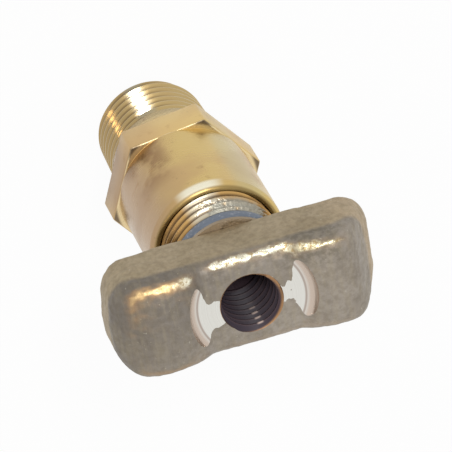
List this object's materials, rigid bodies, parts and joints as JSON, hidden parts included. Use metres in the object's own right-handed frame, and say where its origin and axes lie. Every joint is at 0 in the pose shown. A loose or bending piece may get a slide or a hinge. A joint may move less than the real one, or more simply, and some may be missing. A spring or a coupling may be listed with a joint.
{
  "type": "engine drain plug",
  "caption": "Brass hand drain plug: a hexagon body with a taper pipe thread and a cast T-handle plug that screws in and out of it.",
  "frame": {"origin": "centre of the small end of the pipe thread, on the shared axis of body and plug", "axes": "+Z along the axis towards the handle, X along the handle's long way in the modelled pose"},
  "size_m": [0.0324, 0.0174, 0.0505],
  "materials": {
    "turned_brass": "polished, turned",
    "cast_brass": "as cast, dull",
    "ring_rubber": "matte"
  },
  "bodies": {
    "body": {"hex_body": "turned_brass"},
    "ring": {"seal_ring": "ring_rubber"},
    "plug": {"tee_plug": "cast_brass"}
  },
  "joints": [
    {"name": "plug_travel", "type": "slide", "parent": "body", "child": "ring", "axis": [0, 0, 1], "range_m": [-0.00565, 0.00565]},
    {"name": "plug_turn", "type": "hinge", "parent": "ring", "child": "plug", "pos_m": [0, 0, 0.0393], "axis": [0, 0, 1], "range_deg": [-1440, 1440]}
  ],
  "couplings": [
    {"joint": "plug_travel", "follows": "plug_turn", "m_per_rad": 0.00022458}
  ]
}
